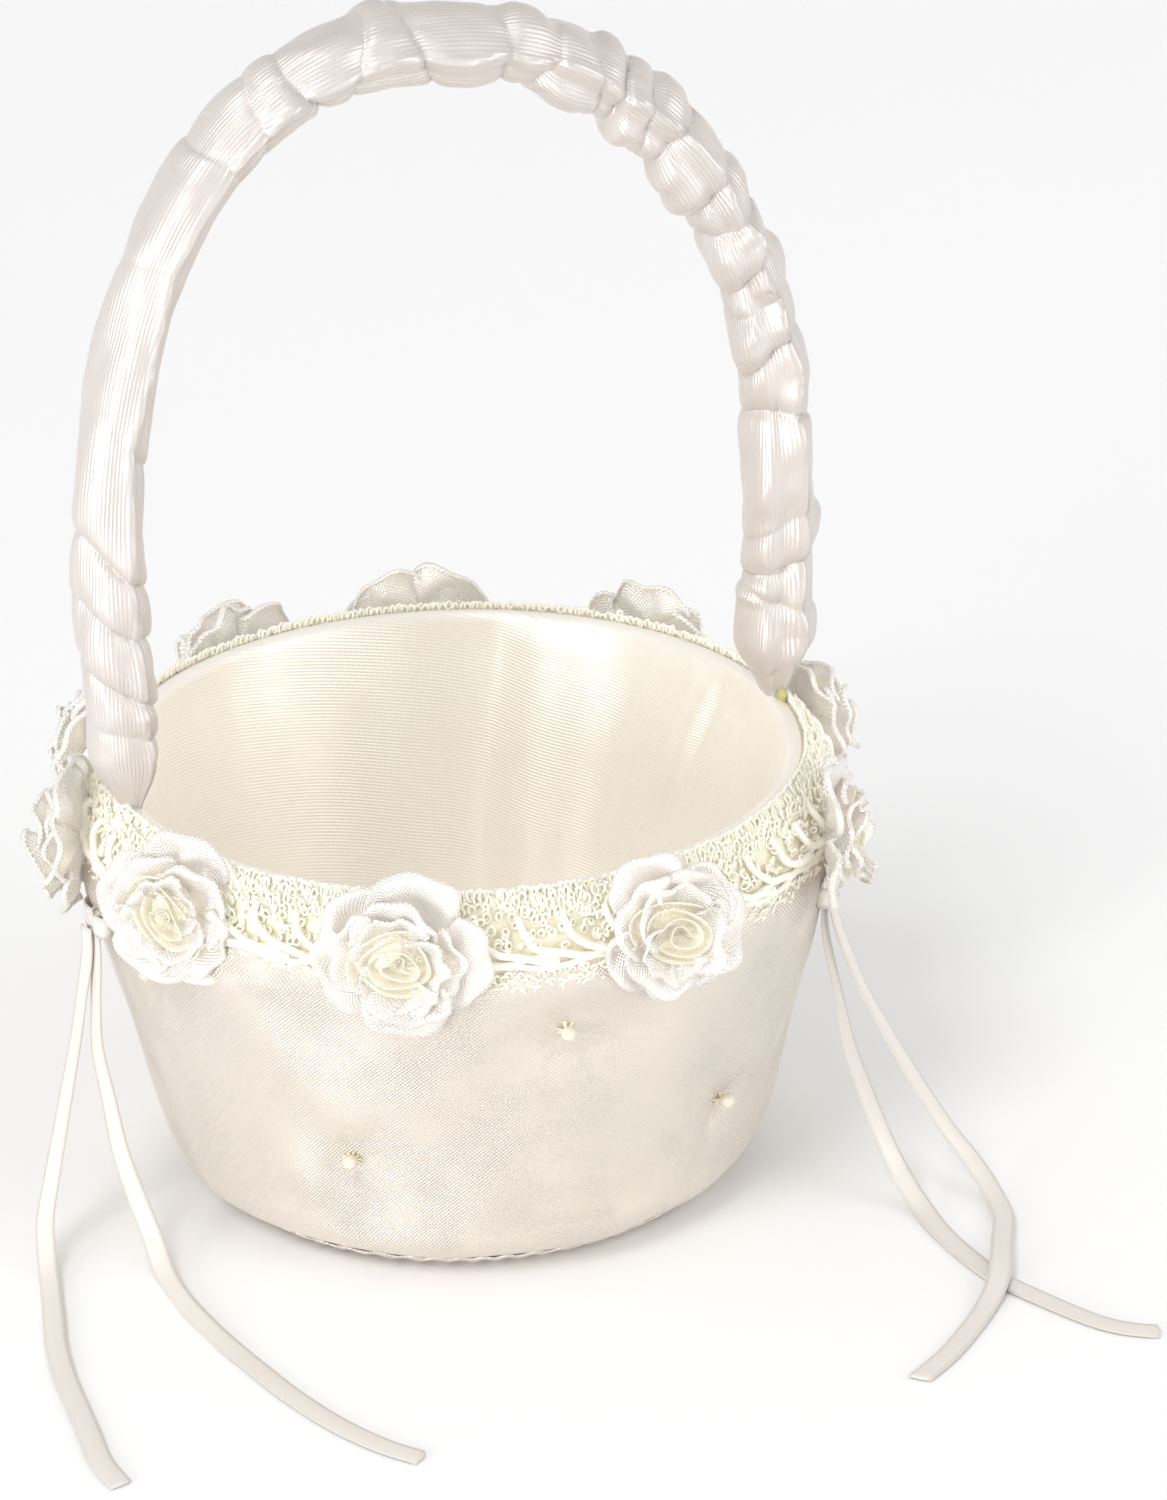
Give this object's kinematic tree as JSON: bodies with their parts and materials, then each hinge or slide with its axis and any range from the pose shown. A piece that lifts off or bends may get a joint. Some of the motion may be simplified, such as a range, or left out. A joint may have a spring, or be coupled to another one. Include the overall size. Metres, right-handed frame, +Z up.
{
  "type": "flower girl basket",
  "caption": "Padded satin flower girl basket: a round tapered bowl with a gathered arch handle, looped braid and ribbon roses round the rim, pearl tufts and ribbon tails",
  "frame": {"origin": "centre of the base cover's underside, on the surface that the basket stands on", "axes": "+Z up out of the bowl's mouth; the handle's arch lies in the XZ plane with a foot at each end of X; -Y is the side that the ribbon tails lie on"},
  "size_m": [0.2299, 0.2366, 0.2716],
  "materials": {
    "base_satin": "satin drawn over a card disc, plain weave",
    "cover_satin": "padded ivory satin, fine plain weave with a soft sheen",
    "lining_satin": "ivory satin with a fine slanting twill line, soft sheen",
    "handle_satin": "gathered satin with fine ribs along its length",
    "batting": "white polyester batting, matt",
    "form_plastic": "thin moulded plastic shell, matt",
    "core_plastic": "flat flexible plastic strip, matt",
    "thread": "twisted sewing thread",
    "braid_gimp": "cream gimp braid, looped satin cord with a sparkling picot edge",
    "rose_ribbon": "semi-sheer satin ribbon with a woven sparkle",
    "rose_heart_ribbon": "rolled satin ribbon, warmer cream in the folds",
    "pearl": "pearl bead with a soft lustre",
    "tail_ribbon": "narrow double-faced satin ribbon with woven edges"
  },
  "bodies": {
    "root": {"base_cover": "base_satin", "cover_hem": "cover_satin", "outer_cover": "cover_satin", "wall_padding": "batting", "form_wall": "form_plastic", "form_base": "form_plastic", "lining_padding": "batting", "lining_wall": "lining_satin", "floor_pad": "batting", "lining_floor": "lining_satin", "handle_core": "core_plastic", "handle_padding": "batting", "handle_sleeve": "handle_satin", "handle_stitching": "thread", "braid_tape": "braid_gimp", "braid_top_picot": "braid_gimp", "braid_scrolls": "braid_gimp", "braid_rails": "braid_gimp", "braid_bottom_picot": "braid_gimp", "rose_petals_01": "rose_ribbon", "rose_petals_02": "rose_ribbon", "rose_petals_03": "rose_ribbon", "rose_petals_04": "rose_ribbon", "rose_petals_05": "rose_ribbon", "rose_petals_06": "rose_ribbon", "rose_petals_07": "rose_ribbon", "rose_petals_08": "rose_ribbon", "rose_petals_09": "rose_ribbon", "rose_petals_10": "rose_ribbon", "rose_heart_01": "rose_heart_ribbon", "rose_heart_02": "rose_heart_ribbon", "rose_heart_03": "rose_heart_ribbon", "rose_heart_04": "rose_heart_ribbon", "rose_heart_05": "rose_heart_ribbon", "rose_heart_06": "rose_heart_ribbon", "rose_heart_07": "rose_heart_ribbon", "rose_heart_08": "rose_heart_ribbon", "rose_heart_09": "rose_heart_ribbon", "rose_heart_10": "rose_heart_ribbon", "pearls": "pearl", "pearl_knots": "thread", "ribbon_knot_left": "tail_ribbon", "ribbon_knot_right": "tail_ribbon", "ribbon_left_outer": "tail_ribbon", "ribbon_left_inner": "tail_ribbon", "ribbon_right_inner": "tail_ribbon", "ribbon_right_outer": "tail_ribbon"}
  },
  "joints": []
}
